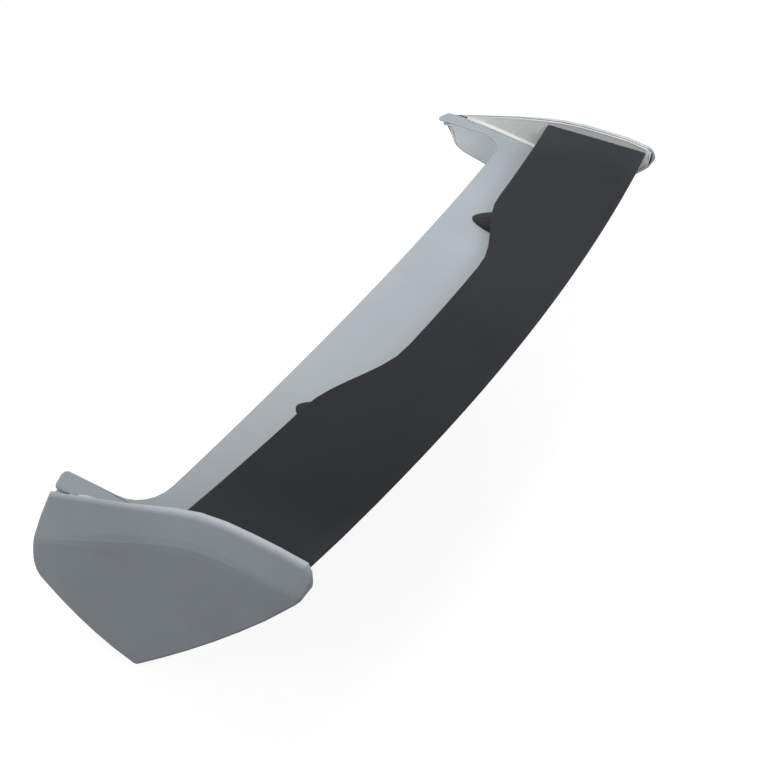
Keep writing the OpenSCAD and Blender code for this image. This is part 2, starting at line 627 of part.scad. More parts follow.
module base_panel() {
  rim = [for (e = [base_wall, 0]) sink_to_rim(perimeter(base_grid(e, 0)))];
  rounding = [for (a = [90, 60, 30])
    sink(perimeter(base_grid(base_edge_r * (1 - sin(a)), 0)), base_edge_r * (1 - cos(a)))];
  color([0.68, 0.71, 0.75])
    difference() {
      union() {
        shell(base_grid(base_wall, base_wall), concat(rim, rounding), base_grid(base_edge_r, 0));
        for (x = under_screw_xs)
          translate([x, under_screw_y(x), under_seat(x)])
            cylinder(h = base_top(x, under_screw_y(x)) - base_wall / 2 - under_seat(x),
                     d = 2 * screw_d, $fn = round_fn);
      }
      for (x = under_screw_xs)
        translate([x, under_screw_y(x), 0])
          translate([0, 0, under_floor(x, under_screw_y(x))])
            cylinder(h = hollow_depth - 1, d = screw_d - 0.6, $fn = round_fn);
      for (sx = [-1, 1]) {
        for (y = strut_bolt_ys)
          translate([sx * strut_x, y, 0])
            cylinder(h = 60, d = bolt_d + 2 * hole_gap, $fn = round_fn);
        for (y = wall_screw_ys)
          translate([sx * wall_screw_x(y), y, -20])
            cylinder(h = 60, d = screw_d + 2 * hole_gap, $fn = round_fn);
      }
    }
}

under_rows = [0, 0.25, 0.5, 0.75, 1];
under_xs = [for (k = [-10 : 10]) under_half * k / 10];
function under_grid(e, drop) =
  [for (x0 = under_xs) let(x = x0 * (under_half - e) / under_half)
    [for (v = under_rows)
      let(y = lerp(base_front(x) - under_margin - e, base_rear(x) + under_margin + e, v))
      [x, y, base_top(x, y) - drop]]];

module base_underpanel() {
  top_gap = base_wall + seat;
  bottom = hollow_depth + under_wall;
  column_d = bolt_d + 2 * boss_wall + 2;
  color([0.2, 0.21, 0.22])
    difference() {
      union() {
        shell(under_grid(0, bottom),
              [perimeter(under_grid(0, top_gap)), perimeter(under_grid(under_wall, top_gap))],
              under_grid(under_wall, hollow_depth));
        for (p = stud_places)
          translate([p[0], p[1], seal_t])
            cylinder(h = under_floor(p[0], p[1]) + under_wall + 1 - seal_t, d = boss_d, $fn = round_fn);
        for (sx = [-1, 1])
          for (y = strut_bolt_ys)
            translate([sx * strut_x, y, under_floor(strut_x, y)])
              cylinder(h = bottom - top_gap - 0.6, d = column_d, $fn = round_fn);
        for (x = [-under_rib_end : under_rib_pitch : under_rib_end])
          under_rib([x, base_front(x) - under_margin - 14], [x, base_rear(x) + under_margin + 6], 2);
        for (y = [stud_row / 2, -stud_row / 2])
          under_rib([-under_rib_end, y], [under_rib_end, y], 12);
      }
      for (p = stud_places)
        translate([p[0], p[1], seal_t - 1])
          cylinder(h = insert_len + 1, d = insert_d, $fn = round_fn);
      for (x = under_screw_xs)
        translate([x, under_screw_y(x), under_floor(x, under_screw_y(x)) - 5])
          cylinder(h = 10, d = screw_d + 2 * hole_gap, $fn = round_fn);
      for (sx = [-1, 1])
        for (y = strut_bolt_ys)
          translate([sx * strut_x, y, -5]) {
            cylinder(h = 70, d = bolt_d + 2 * hole_gap, $fn = round_fn);
            cylinder(h = under_floor(strut_x, y) + 5.6, d = 2 * bolt_d + 3, $fn = round_fn);
          }
    }
}

module blade_upper_skin() {
  xs = [for (s = blade_shares) s * blade_half];
  outer = [for (x = xs) upper_chain(x)];
  inner = [for (c = outer) thicken(c, -blade_wall)];
  color([0.2, 0.2, 0.21])
    shell(blade_grid(inner, blade_shares, blade_end_gap), [],
          blade_grid(outer, blade_shares, blade_end_gap));
}

module blade_lower_skin() {
  xs = [for (s = blade_shares) s * blade_half];
  outer = [for (x = xs) lower_chain(x)];
  inner = [for (c = outer) thicken(c, blade_wall)];
  color([0.17, 0.17, 0.18])
    difference() {
      union() {
        shell(blade_grid(outer, blade_shares, blade_end_gap), [],
              blade_grid(inner, blade_shares, blade_end_gap));
        for (sx = [-1, 1])
          for (y = strut_bolt_ys)
            translate([sx * strut_x, y, blade_bottom(strut_x, blade_v(strut_x, y)) + 1])
              cylinder(h = blade_insert_len + 2, d = blade_insert_d + 2 * boss_wall, $fn = round_fn);
      }
      for (sx = [-1, 1])
        for (y = strut_bolt_ys)
          translate([sx * strut_x, y, blade_bottom(strut_x, blade_v(strut_x, y)) - 5])
            cylinder(h = blade_insert_len + 6, d = blade_insert_d, $fn = round_fn);
    }
}

// Strut: a teardrop fin between base panel and blade
function strut_width(d) =
  d < strut_front_len
  ? strut_half_w * sqrt(max(0, 1 - pow(1 - d / strut_front_len, 2)))
  : strut_half_w * (1 - 0.85 * pow((d - strut_front_len) / strut_tail_len, 1.4));
strut_stations = [0.6, 4, 10, 18, 28, 38, 48, 60, 76, 92, 108, 122, 132];
function strut_section(d) =
  let(y = strut_nose_y - d, w = strut_width(d), zb = base_top(strut_x - w, y) + seat,
      ridge = base_top(strut_x, strut_nose_y) + 2 + tan(strut_ridge) * d,
      under = blade_bottom(strut_x, blade_v(strut_x, y)) - seat,
      reach = y < nose_y(strut_x) + nose_r ? under : 1000,
      zt = min(ridge, reach), fall = min(0.5 * w, 0.6 * (zt - zb)))
  [[-w, y, zb], [w, y, base_top(strut_x + w, y) + seat],
   [w, y, zt - fall], [0.8 * w, y, zt - 0.4 * fall], [0.35 * w, y, zt],
   [-0.35 * w, y, zt], [-0.8 * w, y, zt - 0.4 * fall], [-w, y, zt - fall]];

module strut() {
  color([0.11, 0.11, 0.12])
    difference() {
      translate([strut_x, 0, 0])
        loft([for (i = [len(strut_stations) - 1 : -1 : 0]) strut_section(strut_stations[i])]);
      for (y = strut_bolt_ys)
        translate([strut_x, y, 0])
          cylinder(h = 100, d = bolt_d + 2 * hole_gap, $fn = round_fn);
    }
}

module strut_left() mirror([1, 0, 0]) strut();
module strut_right() strut();

module plate_outer() {
  outer = plate_grid(plate_edge_r, 0);
  edge = perimeter(plate_grid(0, 0));
  rounding = [for (a = [30, 60, 90])
    inward(perimeter(plate_grid(plate_edge_r * (1 - sin(a)), 0)), plate_edge_r * (1 - cos(a)))];
  inner_edge = perimeter(plate_grid(plate_wall_t, 0));
  color([0.52, 0.55, 0.59]) {
    difference() {
      union() {
        shell(outer, concat(rounding, [to_rim(edge), to_rim(inner_edge)]),
              plate_grid(plate_wall_t, plate_wall_t));
        for (p = liner_screw_places)
          translate([liner_x(p[0], p[1]) + liner_t + pad_back + seat, p[0], p[1]])
            rotate([0, 90, 0])
              cylinder(h = plate_rim - liner_t - pad_back - seat - 0.75 * plate_wall_t, d = 2 * screw_d,
                       $fn = round_fn);
      }
      for (p = liner_screw_places)
        translate([liner_x(p[0], p[1]), p[0], p[1]])
          rotate([0, 90, 0])
            cylinder(h = plate_rim - plate_wall_t - 1, d = screw_d - 0.6, $fn = round_fn);
    }
  }
}

module plate_outer_left() mirror([1, 0, 0]) plate_outer();
module plate_outer_right() plate_outer();

module plate_wall() {
  color([0.62, 0.63, 0.62])
    difference() {
      union() {
        shell([for (y = wall_stations) wall_visible(y)], [], [for (y = wall_stations) wall_hidden(y)]);
        for (y = wall_screw_ys)
          translate([wall_screw_x(y), y, wall_floor(y)])
            cylinder(h = 12, d = 2 * screw_d, $fn = round_fn);
      }
      for (y = wall_screw_ys)
        translate([wall_screw_x(y), y, wall_floor(y) - 1])
          cylinder(h = 11, d = screw_d - 0.6, $fn = round_fn);
      for (y = rib_screw_ys)
        translate([blade_half, y, rib_screw_z(y)])
          rotate([0, 90, 0])
            translate([0, 0, -15])
              cylinder(h = 40, d = screw_d + 2 * hole_gap, $fn = round_fn);
    }
}

module plate_wall_left() mirror([1, 0, 0]) plate_wall();
module plate_wall_right() plate_wall();

module plate_liner() {
  color([0.5, 0.53, 0.56])
    difference() {
      union() {
        shell([for (i = [0 : liner_ribs]) liner_hidden(i)], [],
              [for (i = [0 : liner_ribs]) liner_visible(i)]);
        for (p = liner_screw_places)
          translate([liner_x(p[0], p[1]) - pad_h, p[0], p[1]])
            rotate([0, 90, 0])
              cylinder(h = pad_h + liner_t + pad_back, d = 2 * screw_d + 4, $fn = round_fn);
        for (p = pin_places)
          translate([liner_x(p[0], p[1]) - pad_h - 2, p[0], p[1]])
            rotate([0, 90, 0])
              cylinder(h = pad_h + 2 + liner_t + pad_back, d = 2 * pin_d + 4, $fn = round_fn);
      }
      for (p = liner_screw_places)
        translate([liner_x(p[0], p[1]) - 10, p[0], p[1]])
          rotate([0, 90, 0])
            cylinder(h = 20, d = screw_d + 2 * hole_gap, $fn = round_fn);
      for (p = pin_places)
        translate([liner_x(p[0], p[1]) - pad_h - 3, p[0], p[1]])
          rotate([0, 90, 0])
            cylinder(h = pad_h + 3, d = pin_d * 0.75 + 2 * hole_gap, $fn = round_fn);
      for (y = wall_screw_ys)
        translate([wall_screw_x(y), y, -20])
          cylinder(h = 60, d = screw_d + 2 * hole_gap, $fn = round_fn);
    }
}

module plate_liner_left() mirror([1, 0, 0]) plate_liner();
module plate_liner_right() plate_liner();

// Rib inside the blade's end, which carries the blade on the plate wall
rib_shares = [0.02, 0.2, 0.4, 0.6, 0.78, 0.88];
rib_t = 4;
rib_gap = 2 * seat;
function rib_grid(depth) =
  [for (v = rib_shares)
    let(x = blade_half, y = lerp(nose_y(x), tail_y(x), v), clear = blade_wall + 2 * seat)
    [for (z = [blade_bottom(x, v) + clear, blade_top(x, v) - clear])
      [wall_face(y, z) - rib_gap - depth, y, z]]];

module blade_rib() {
  color([0.15, 0.15, 0.16])
    difference() {
      union() {
        shell(rib_grid(rib_t), [], rib_grid(0));
        for (y = rib_screw_ys)
          translate([wall_face(y, rib_screw_z(y)) - rib_gap - 1, y, rib_screw_z(y)])
            rotate([0, -90, 0])
              cylinder(h = 13, d = 2 * screw_d, $fn = round_fn);
      }
      for (y = rib_screw_ys)
        translate([wall_face(y, rib_screw_z(y)) + 5, y, rib_screw_z(y)])
          rotate([0, -90, 0])
            cylinder(h = 18, d = screw_d - 0.6, $fn = round_fn);
    }
}

module blade_rib_left() mirror([1, 0, 0]) blade_rib();
module blade_rib_right() blade_rib();

module mounting_studs() {
  color([0.75, 0.76, 0.74])
    for (p = stud_places)
      translate([p[0], p[1], -stud_len])
        union() {
          cylinder(h = stud_len, d = stud_d, $fn = round_fn);
          translate([0, 0, -1])
            cylinder(h = 1, d1 = stud_d - 1.6, d2 = stud_d, $fn = round_fn);
          translate([0, 0, stud_len])
            cylinder(h = seal_t + insert_len - 1, d = stud_root_d, $fn = round_fn);
        }
}

module stud_inserts() {
  color([0.75, 0.62, 0.3])
    for (p = stud_places)
      translate([p[0], p[1], seal_t])
        difference() {
          cylinder(h = insert_len - 0.5, d = insert_d, $fn = round_fn);
          translate([0, 0, -1])
            cylinder(h = insert_len + 1, d = stud_root_d, $fn = round_fn);
        }
}

module stud_seals() {
  color([0.08, 0.08, 0.08])
    for (p = stud_places)
      translate([p[0], p[1], 0])
        difference() {
          cylinder(h = seal_t, d = boss_d, $fn = round_fn);
          translate([0, 0, -1])
            cylinder(h = seal_t + 2, d = stud_root_d + 2 * hole_gap, $fn = round_fn);
        }
}

function bolt_top(y) = blade_bottom(strut_x, blade_v(strut_x, y)) + blade_insert_len - 1;

module strut_bolts() {
  color([0.6, 0.6, 0.58])
    for (sx = [-1, 1])
      for (y = strut_bolt_ys)
        translate([sx * strut_x, y, under_floor(strut_x, y) + 0.6])
          screw(bolt_d, bolt_top(y) - under_floor(strut_x, y) - 0.6, 2 * bolt_d, bolt_head_h);
}

module blade_inserts() {
  color([0.75, 0.62, 0.3])
    for (sx = [-1, 1])
      for (y = strut_bolt_ys)
        translate([sx * strut_x, y, blade_bottom(strut_x, blade_v(strut_x, y)) + 1])
          difference() {
            cylinder(h = blade_insert_len - 0.5, d = blade_insert_d, $fn = round_fn);
            translate([0, 0, -1])
              cylinder(h = blade_insert_len + 1, d = bolt_d, $fn = round_fn);
          }
}

module rib_screws() {
  color([0.6, 0.6, 0.58])
    for (y = rib_screw_ys)
      translate([wall_face(y, rib_screw_z(y)) + liner_t + 0.5, y, rib_screw_z(y)])
        rotate([0, -90, 0])
          screw(screw_d - 0.6, 12, screw_head_d, screw_head_h);
}

module rib_screws_left() mirror([1, 0, 0]) rib_screws();
module rib_screws_right() rib_screws();

module wall_screws() {
  color([0.6, 0.6, 0.58])
    for (y = wall_screw_ys)
      translate([wall_screw_x(y), y, liner_flange(base_half, y) - liner_t])
        screw(screw_d - 0.6, 18, screw_head_d, screw_head_h);
}

module wall_screws_left() mirror([1, 0, 0]) wall_screws();
module wall_screws_right() wall_screws();

module liner_screws() {
  color([0.6, 0.6, 0.58])
    for (p = liner_screw_places)
      translate([liner_x(p[0], p[1]) - pad_h, p[0], p[1]])
        rotate([0, 90, 0])
          screw(screw_d - 0.6, 12, screw_head_d, screw_head_h);
}

module liner_screws_left() mirror([1, 0, 0]) liner_screws();
module liner_screws_right() liner_screws();

module underpanel_screws() {
  color([0.6, 0.6, 0.58])
    for (x = under_screw_xs)
      translate([x, under_screw_y(x), under_floor(x, under_screw_y(x)) - 2 * seat])
        screw(screw_d - 0.6, hollow_depth - 2, screw_head_d, screw_head_h);
}

module locating_pins() {
  color([0.85, 0.85, 0.8])
    for (p = pin_places)
      translate([liner_x(p[0], p[1]) - pad_h - 2, p[0], p[1]])
        rotate([0, -90, 0])
          rotate_extrude($fn = round_fn)
            polygon([[0, -pad_h], [pin_d * 0.375, -pad_h], [pin_d * 0.375, 0], [pin_d, 0], [pin_d, 2],
                     [pin_d / 2, 2], [pin_d / 2, 2 + pin_len], [pin_d / 2 - 2, 5 + pin_len],
                     [0, 5 + pin_len]]);
}

module locating_pins_left() mirror([1, 0, 0]) locating_pins();
module locating_pins_right() locating_pins();

module front_foam_strip() {
  color([0.1, 0.1, 0.1])
    loft([for (k = [-8 : 8])
      let(x = bay_start_x * k / 8, y = base_front(x) - under_margin - 1, z = under_floor(x, y) - seat,
          back = under_floor(x, y - strip_w) - seat)
      [[x, y, z], [x, y, z - strip_t], [x, y - strip_w, back - strip_t], [x, y - strip_w, back]]]);
}

base_panel();
base_underpanel();
blade_upper_skin();
blade_lower_skin();
strut_left();
strut_right();
plate_outer_left();
plate_outer_right();
plate_wall_left();
plate_wall_right();
plate_liner_left();
plate_liner_right();
blade_rib_left();
blade_rib_right();
mounting_studs();
stud_inserts();
stud_seals();
strut_bolts();
blade_inserts();
rib_screws_left();
rib_screws_right();
wall_screws_left();
wall_screws_right();
liner_screws_left();
liner_screws_right();
underpanel_screws();
locating_pins_left();
locating_pins_right();
front_foam_strip();
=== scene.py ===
"""Dresses the two-deck roof spoiler: materials, light, floor and camera."""
import bpy
import json
import math
import mathutils
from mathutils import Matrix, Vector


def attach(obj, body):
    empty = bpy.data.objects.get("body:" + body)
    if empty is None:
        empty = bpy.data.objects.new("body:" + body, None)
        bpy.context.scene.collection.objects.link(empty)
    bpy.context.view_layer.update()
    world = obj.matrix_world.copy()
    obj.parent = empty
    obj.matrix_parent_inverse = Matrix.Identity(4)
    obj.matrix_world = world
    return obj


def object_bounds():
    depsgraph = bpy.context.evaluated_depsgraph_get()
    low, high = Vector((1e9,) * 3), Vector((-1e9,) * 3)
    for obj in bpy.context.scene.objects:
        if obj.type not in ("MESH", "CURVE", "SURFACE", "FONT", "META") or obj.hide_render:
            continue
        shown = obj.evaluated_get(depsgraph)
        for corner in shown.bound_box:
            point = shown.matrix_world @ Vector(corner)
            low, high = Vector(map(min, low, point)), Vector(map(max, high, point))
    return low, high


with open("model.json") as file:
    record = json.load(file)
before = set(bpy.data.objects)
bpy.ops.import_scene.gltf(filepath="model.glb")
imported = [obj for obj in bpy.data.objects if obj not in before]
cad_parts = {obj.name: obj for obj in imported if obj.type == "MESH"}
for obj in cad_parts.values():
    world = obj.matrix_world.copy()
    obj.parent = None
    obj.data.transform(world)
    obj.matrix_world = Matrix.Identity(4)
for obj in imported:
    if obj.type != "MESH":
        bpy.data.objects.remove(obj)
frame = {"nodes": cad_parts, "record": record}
cad_low, cad_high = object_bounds()

# Camera, as solved from the photograph, in metres and degrees
CAMERA_AT = (-1.1788, -0.6899, 1.2695)
CAMERA_TILT = 44.091
CAMERA_TURN = -58.21
CAMERA_SIGHT = 50.0
LENS_MM = 55.1
SENSOR_MM = 36.0

# Floor and world
FLOOR_GAP = 0.0005
FLOOR_SIZE = 12.0
PAPER_DARK = (0.3, 0.303, 0.306)
PAPER_LIGHT = (0.33, 0.333, 0.336)
PAPER_GLOW = 0.86
PAPER_BOUNCE = (0.85, 0.86, 0.87, 1.0)
WORLD_COLOUR = (0.93, 0.96, 1.0, 1.0)
WORLD_STRENGTH = 0.4
WHITE = (1.0, 1.0, 1.0, 1.0)

# Lamps: name, place, aim, size, watts, colour, spread in degrees
NEUTRAL = (1.0, 1.0, 1.0)
FAINTLY_WARM = (1.0, 0.99, 0.97)
WIDE = 180.0
NARROW = 50.0
LAMPS = (
    ("softbox_above", (0.17, 0.28, 0.88), (0.17, 0.1, 0.0), (0.7, 0.7), 5.6, NEUTRAL, WIDE),
    ("softbox_left", (-1.5, 1.0, 0.8), (-0.6, 0.15, -0.05), (0.8, 0.8), 2.4, FAINTLY_WARM, WIDE),
    ("softbox_far_end", (-0.45, -0.75, 0.85), (0.56, -0.03, 0.05), (0.4, 0.4), 0.6,
     NEUTRAL, NARROW),
    ("softbox_behind", (0.1, -1.9, 0.35), (0.0, 0.0, 0.0), (2.0, 0.7), 5.0, NEUTRAL, WIDE),
)

# Pale beads, painted light along the end plates' joints, in metres
BEAD_SIDES = 8
WALL_BEAD_RADIUS = 0.0013
WALL_BEAD_AHEAD = 0.011
WALL_BEAD_DIP = 0.0015
WALL_BEAD_BEHIND = 0.001
WALL_BEAD_DROP = 0.016
LINER_BEAD_RADIUS = 0.0026
LINER_BEAD_AHEAD = 0.003
LINER_BEAD_REACH = 0.0075
SAME_PLACE_DIGITS = 5
SHORTEST_STEP = 0.0005

# Greys for primer: overspray dust specks, and the painted highlight along each sharp convex edge
DUST = (0.9, 0.9, 0.9)
PAINTED_EDGE_HIGHLIGHT = (0.95, 0.95, 0.95)

# Between these lies nearly all of a noise
NOISE_LOW, NOISE_HIGH = 0.3, 0.7

# Sockets of the mix node when it mixes colours
MIX_FACTOR, MIX_FIRST, MIX_SECOND, MIX_RESULT = 0, 6, 7, 2


class Nodes:
    """Short helper to build a material's node tree."""

    def __init__(self, name):
        self.material = bpy.data.materials.new(name)
        self.material.use_nodes = True
        self.tree = self.material.node_tree
        self.tree.nodes.clear()
        self.output = self.tree.nodes.new("ShaderNodeOutputMaterial")

    def add(self, kind, inputs=None, **settings):
        node = self.tree.nodes.new(kind)
        for key, value in settings.items():
            setattr(node, key, value)
        for key, value in (inputs or {}).items():
            self.put(node.inputs[key], value)
        return node

    def put(self, socket, value):
        if isinstance(value, bpy.types.NodeSocket):
            self.tree.links.new(value, socket)
        else:
            socket.default_value = value

    def coordinates(self):
        return self.add("ShaderNodeTexCoord").outputs["Object"]

    def pointiness(self):
        return self.add("ShaderNodeNewGeometry").outputs["Pointiness"]

    def facing_up(self):
        normal = self.add("ShaderNodeNewGeometry").outputs["Normal"]
        return self.add("ShaderNodeSeparateXYZ", {"Vector": normal}).outputs["Z"]

    def noise(self, scale, detail=4.0, roughness=0.55, stretch=(1, 1, 1)):
        place = self.add("ShaderNodeMapping", {"Vector": self.coordinates(), "Scale": stretch})
        return self.add("ShaderNodeTexNoise", {
            "Vector": place.outputs["Vector"], "Scale": scale,
            "Detail": detail, "Roughness": roughness}).outputs["Fac"]

    def cells(self, scale, feature):
        return self.add("ShaderNodeTexVoronoi", {
            "Vector": self.coordinates(), "Scale": scale}, feature=feature).outputs["Distance"]

    def span(self, value, low, high, to_low=0.0, to_high=1.0):
        return self.add("ShaderNodeMapRange", {
            "Value": value, "From Min": low, "From Max": high,
            "To Min": to_low, "To Max": to_high}).outputs["Result"]

    def swing(self, noise, to_low=0.0, to_high=1.0):
        return self.span(noise, NOISE_LOW, NOISE_HIGH, to_low, to_high)

    def ramp(self, value, first, last):
        node = self.add("ShaderNodeValToRGB", {"Fac": value})
        for stop, place, colour in zip(node.color_ramp.elements, (0.0, 1.0), (first, last)):
            stop.position = place
            stop.color = (*colour, 1.0)
        return node.outputs["Color"]

    def mix(self, factor, first, second, blend="MIX"):
        node = self.add("ShaderNodeMix", data_type="RGBA", blend_type=blend)
        for index, value in ((MIX_FACTOR, factor), (MIX_FIRST, first), (MIX_SECOND, second)):
            self.put(node.inputs[index], (*value, 1.0) if isinstance(value, tuple) else value)
        return node.outputs[MIX_RESULT]

    def bump(self, height, strength, distance):
        return self.add("ShaderNodeBump", {
            "Height": height, "Strength": strength, "Distance": distance}).outputs["Normal"]

    def finish(self, inputs):
        shader = self.add("ShaderNodeBsdfPrincipled", inputs)
        self.put(self.output.inputs["Surface"], shader.outputs["BSDF"])
        return self.material


def scaled(colour, factor, most=1.0):
    return tuple(min(most, part * factor) for part in colour)


def primer(name, colour, grain=0.06, gloss=0.42, top=1.0):
    """Sprayed primer: tops paler as painted light, faint clouds, orange peel, overspray dust, a
    painted highlight on each convex edge.
    """
    n = Nodes(name)
    full = scaled(colour, 1 + grain)
    # Painted light: the more a surface faces up, the paler it is, up to top times the colour,
    # standing in for light from above.
    tone = n.mix(n.span(n.facing_up(), 0.1, 0.95), full, scaled(full, top, most=0.95))
    clouds = n.noise(5.0, detail=5.0, roughness=0.6)
    veil = n.ramp(n.swing(clouds), scaled(NEUTRAL, 1 - 2 * grain), NEUTRAL)
    tone = n.mix(1.0, tone, veil, blend="MULTIPLY")
    dust = n.span(n.noise(900.0, detail=2.0), 0.62, 0.8, to_high=0.05)
    tone = n.mix(dust, tone, DUST)
    # Painted highlight: sharp convex edge lines a little paler, standing in for light caught on
    # rounded edge lines.
    painted_edge_highlight = n.span(n.pointiness(), 0.52, 0.6, to_high=0.06)
    tone = n.mix(painted_edge_highlight, tone, PAINTED_EDGE_HIGHLIGHT)
    peel = n.noise(420.0, detail=3.0)
    return n.finish({
        "Base Color": tone,
        "Roughness": n.swing(clouds, gloss - 0.04, gloss + 0.06),
        "Normal": n.bump(peel, strength=0.12, distance=0.0003),
        "Specular IOR Level": 0.45})


def grained_plastic(name, colour, gloss=0.5, grain_scale=900.0, shine=0.5):
    """Moulded plastic with a fine leather-like grain, handling haze and a painted highlight on each
    sharp convex edge.
    """
    n = Nodes(name)
    haze = n.noise(7.0, detail=6.0, roughness=0.62)
    tone = n.ramp(n.span(haze, 0.3, 0.72), scaled(colour, 0.9), scaled(colour, 1.14))
    # Painted highlight: convex edge lines, such as the blade's trailing edge, made paler as if
    # catching light.
    painted_edge_highlight = n.span(n.pointiness(), 0.52, 0.62, to_high=0.5)
    tone = n.mix(painted_edge_highlight, tone, tuple(part * 2.2 + 0.01 for part in colour))
    height = n.mix(0.5, n.cells(grain_scale, "SMOOTH_F1"), n.noise(grain_scale * 1.7, detail=3.0))
    return n.finish({
        "Base Color": tone,
        "Roughness": n.swing(haze, gloss - 0.05, gloss + 0.07),
        "Normal": n.bump(height, strength=0.25, distance=0.0002),
        "Specular IOR Level": shine})


def zinc(name):
    """Zinc-plated steel with crystalline clouding and drawn scratches."""
    n = Nodes(name)
    clouds = n.noise(260.0)
    scratches = n.noise(500.0, detail=2.0, roughness=0.5, stretch=(1, 1, 12))
    return n.finish({
        "Base Color": n.ramp(n.span(clouds, 0.35, 0.65), (0.5, 0.51, 0.5), (0.72, 0.72, 0.68)),
        "Metallic": 1.0,
        "Roughness": n.swing(clouds, 0.28, 0.42),
        "Normal": n.bump(scratches, strength=0.2, distance=0.0001)})


def brass(name):
    """Turned brass with fine tool rings."""
    n = Nodes(name)
    clouds = n.noise(180.0)
    rings = n.noise(60.0, detail=1.0, roughness=0.5, stretch=(1, 1, 40))
    return n.finish({
        "Base Color": n.ramp(n.span(clouds, 0.35, 0.65), (0.55, 0.38, 0.14), (0.78, 0.6, 0.28)),
        "Metallic": 1.0,
        "Roughness": n.swing(clouds, 0.25, 0.4),
        "Normal": n.bump(rings, strength=0.2, distance=0.0001)})


def foam_rubber(name):
    """Closed-cell foam: dark, with open pores on the cut faces."""
    n = Nodes(name)
    pores = n.cells(700.0, "F1")
    dark, light = scaled(NEUTRAL, 0.012), scaled(NEUTRAL, 0.045)
    return n.finish({
        "Base Color": n.ramp(n.span(pores, 0.1, 0.6), dark, light),
        "Roughness": n.span(pores, 0.0, 0.7, 0.7, 0.92),
        "Normal": n.bump(pores, strength=0.5, distance=0.0006)})


# What makes each slot's material, and with which settings
FINISHES = {
    "base_primer": (primer, {"colour": (0.38, 0.42, 0.445)}),
    # top: painted light, upward-facing surfaces of the outer skins made up to 2.75 times paler.
    "plate_grey": (primer, {"colour": (0.2, 0.213, 0.228), "grain": 0.08, "top": 2.75}),
    # wall_grey: painted light, far paler than plate_grey and a little paler on top, standing in for
    # the light on the inner walls.
    "wall_grey": (primer, {"colour": (0.55, 0.56, 0.54), "top": 1.25}),
    # liner_grey: painted light, pale to stand in for light bounced up from the floor onto the
    # liners.
    "liner_grey": (primer, {"colour": (0.72, 0.75, 0.77)}),
    "blade_black": (grained_plastic, {
        "colour": (0.031, 0.034, 0.036), "gloss": 0.55, "shine": 0.03}),
    "strut_black": (grained_plastic, {
        "colour": (0.024, 0.026, 0.028), "gloss": 0.45, "shine": 0.06}),
    "underpanel_plastic": (grained_plastic, {
        "colour": (0.05, 0.051, 0.054), "gloss": 0.6, "grain_scale": 600.0}),
    "pin_plastic": (grained_plastic, {"colour": (0.6, 0.59, 0.53), "grain_scale": 500.0}),
    "zinc_steel": (zinc, {}),
    "insert_brass": (brass, {}),
    "seal_rubber": (foam_rubber, {}),
}


def dress_nodes():
    slots = {part["node"]: part["material_slot"] for part in frame["record"]["subparts"]}
    made = {}
    for name, node in frame["nodes"].items():
        slot = slots[name]
        if slot not in made:
            make, settings = FINISHES[slot]
            made[slot] = make(slot, **settings)
        node.data.materials.clear()
        node.data.materials.append(made[slot])


def make_mesh_object(name, corners, faces):
    mesh = bpy.data.meshes.new(name)
    mesh.from_pydata(corners, [], faces)
    thing = bpy.data.objects.new(name, mesh)
    bpy.context.collection.objects.link(thing)
    return thing


def tube(name, points, radius):
    """A round bead along points, closed at both ends."""
    last = len(points) - 1
    corners = []
    for i, point in enumerate(points):
        along = (points[min(i + 1, last)] - points[max(i - 1, 0)]).normalized()
        across = along.cross(mathutils.Vector((1, 0, 0))).normalized()
        up = across.cross(along)
        for k in range(BEAD_SIDES):
            turn = 2 * math.pi * k / BEAD_SIDES
            corners.append(point + radius * (math.cos(turn) * across + math.sin(turn) * up))
    faces = []
    for ring in range(0, last * BEAD_SIDES, BEAD_SIDES):
        for k in range(BEAD_SIDES):
            a, b = ring + k, ring + (k + 1) % BEAD_SIDES
            faces.append((a, b, b + BEAD_SIDES, a + BEAD_SIDES))
    faces.append(tuple(reversed(range(BEAD_SIDES))))
    faces.append(tuple(range(len(corners) - BEAD_SIDES, len(corners))))
    bead = make_mesh_object(name, corners, faces)
    bead.data.shade_smooth()
    return bead


def outermost(node, along, out, pick):
    """The corners on a node's outermost line, in order of along and bulging towards out.

    Of corners that share a place on that line, pick chooses one by its distance from the centre.
    """
    chosen = {}
    for vertex in frame["nodes"][node].data.vertices:
        corner = vertex.co.copy()
        place = (round(along(corner), SAME_PLACE_DIGITS), round(out(corner), SAME_PLACE_DIGITS))
        chosen[place] = pick(chosen.get(place, corner), corner, key=lambda c: abs(c.x))
    line = []
    for here, high in sorted(chosen):
        while len(line) > 1:
            (first, low), (second, middle) = line[-2:]
            if (middle - low) * (here - first) >= (high - low) * (second - first):
                break
            line.pop()
        line.append((here, high))
    kept = [a for a, b in zip(line, line[1:]) if b[0] - a[0] > SHORTEST_STEP] + line[-1:]
    return [chosen[place] for place in kept]


def wall_bead_path(side):
    """Along the inner wall's top edge, a little past it at the front and round its rear corner."""
    # Painted highlight: the wall bead is a pale line standing in for the highlight along the wall's
    # top edge.
    top = outermost("plate_wall_" + side, lambda c: -c.y, lambda c: c.z, min)
    front = top[0] + mathutils.Vector((0.0, WALL_BEAD_AHEAD, -WALL_BEAD_DIP))
    tail = top[-1] + mathutils.Vector((0.0, -WALL_BEAD_BEHIND, 0.0))
    foot = tail + mathutils.Vector((0.0, 0.0, -WALL_BEAD_DROP))
    return [front] + top + [tail, foot]


def liner_bead_path(side):
    """Just ahead of the liner's front edge, where it meets the outer skin's rim."""
    # Painted light: the liner bead is pale cover over the shaded slit where the liner meets the
    # rim.
    edge = outermost("plate_liner_" + side, lambda c: -c.z, lambda c: c.y, max)
    back = max(corner.y for corner in edge) - LINER_BEAD_REACH
    ahead = mathutils.Vector((0.0, LINER_BEAD_AHEAD, 0.0))
    return [corner + ahead for corner in edge if corner.y > back]


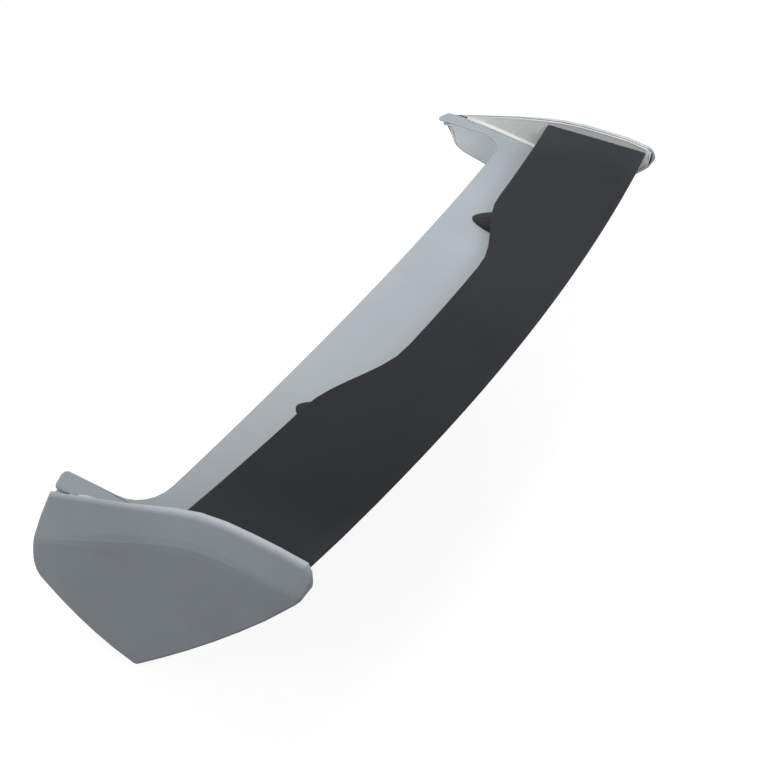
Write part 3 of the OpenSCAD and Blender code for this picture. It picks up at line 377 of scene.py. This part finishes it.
def make_beads(material):
    """Pale beads of painted light along the joints of each end plate's wall and liner with its
    outer skin: a highlight line on the wall's top edge, and pale cover over the shade in the
    liner's joint.
    """
    for side in ("left", "right"):
        for bead in (tube("wall_bead_" + side, wall_bead_path(side), WALL_BEAD_RADIUS),
                     tube("liner_bead_" + side, liner_bead_path(side), LINER_BEAD_RADIUS)):
            bead.data.materials.append(material)
            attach(bead, "root")


def shows_background(tree):
    """One for camera rays, reflections and rays through clear things, zero for light that falls."""
    path = tree.nodes.new("ShaderNodeLightPath").outputs
    shown = path["Is Camera Ray"]
    for kind in ("Is Glossy Ray", "Is Transmission Ray"):
        either = tree.nodes.new("ShaderNodeMath")
        either.operation = "MAXIMUM"
        tree.links.new(shown, either.inputs[0])
        tree.links.new(path[kind], either.inputs[1])
        shown = either.outputs[0]
    return shown


def background(tree, colour, strength):
    node = tree.nodes.new("ShaderNodeBackground")
    node.inputs["Color"].default_value = colour
    node.inputs["Strength"].default_value = strength
    return node.outputs[0]


def make_world():
    """A soft pale light from all round, seen as white."""
    world = bpy.data.worlds.new("studio")
    bpy.context.scene.world = world
    world.use_nodes = True
    tree = world.node_tree
    tree.nodes.clear()
    output = tree.nodes.new("ShaderNodeOutputWorld")
    mix = tree.nodes.new("ShaderNodeMixShader")
    tree.links.new(shows_background(tree), mix.inputs[0])
    tree.links.new(background(tree, WORLD_COLOUR, WORLD_STRENGTH), mix.inputs[1])
    tree.links.new(background(tree, WHITE, 1.0), mix.inputs[2])
    tree.links.new(mix.outputs[0], output.inputs["Surface"])


def paper():
    """Shows as white, darkened only where the object shades it, and bounces light as paper does."""
    n = Nodes("floor_paper")
    fibres = n.noise(40.0, detail=3.0)
    tone = n.ramp(n.swing(fibres), PAPER_DARK, PAPER_LIGHT)
    shaded = n.add("ShaderNodeBsdfDiffuse", {"Color": tone}).outputs[0]
    glow = n.add("ShaderNodeEmission", {"Color": WHITE, "Strength": PAPER_GLOW}).outputs[0]
    bounce = n.add("ShaderNodeBsdfDiffuse", {"Color": PAPER_BOUNCE}).outputs[0]
    seen = n.add("ShaderNodeAddShader", {0: shaded, 1: glow}).outputs[0]
    camera_ray = n.add("ShaderNodeLightPath").outputs["Is Camera Ray"]
    both = n.add("ShaderNodeMixShader", {"Fac": camera_ray, 1: bounce, 2: seen}).outputs[0]
    n.put(n.output.inputs["Surface"], both)
    return n.material


def make_floor():
    half = FLOOR_SIZE / 2
    z = cad_low[2] - FLOOR_GAP
    corners = [(-half, -half, z), (half, -half, z), (half, half, z), (-half, half, z)]
    floor = make_mesh_object("floor", corners, [(0, 1, 2, 3)])
    floor.data.materials.append(paper())


def make_lamps():
    for name, at, aim, size, watts, colour, spread in LAMPS:
        data = bpy.data.lights.new(name, "AREA")
        data.shape = "RECTANGLE"
        data.size, data.size_y = size
        data.energy = watts
        data.color = colour
        data.spread = math.radians(spread)
        lamp = bpy.data.objects.new(name, data)
        bpy.context.collection.objects.link(lamp)
        lamp.location = at
        lamp.visible_camera = False
        x, y, z = (there - here for there, here in zip(aim, at))
        tilt = math.atan2(math.hypot(x, y), -z)
        turn = math.atan2(y, x) - math.pi / 2
        lamp.rotation_euler = (tilt, 0.0, turn)


def make_camera():
    data = bpy.data.cameras.new("photo_camera")
    data.lens = LENS_MM
    data.sensor_width = SENSOR_MM
    data.sensor_fit = "HORIZONTAL"
    data.clip_end = CAMERA_SIGHT
    camera = bpy.data.objects.new("photo_camera", data)
    bpy.context.collection.objects.link(camera)
    camera.location = CAMERA_AT
    camera.rotation_euler = (math.radians(CAMERA_TILT), 0.0, math.radians(CAMERA_TURN))
    bpy.context.scene.camera = camera


make_camera()
make_world()
make_floor()
make_lamps()
dress_nodes()
# Painted light: pale beads for the walls' top-edge highlight and over the shade in the liner
# joints.
make_beads(primer("painted_light_bead", (0.72, 0.73, 0.72), grain=0.04, gloss=0.5))
bpy.context.scene.view_settings.view_transform = "Standard"
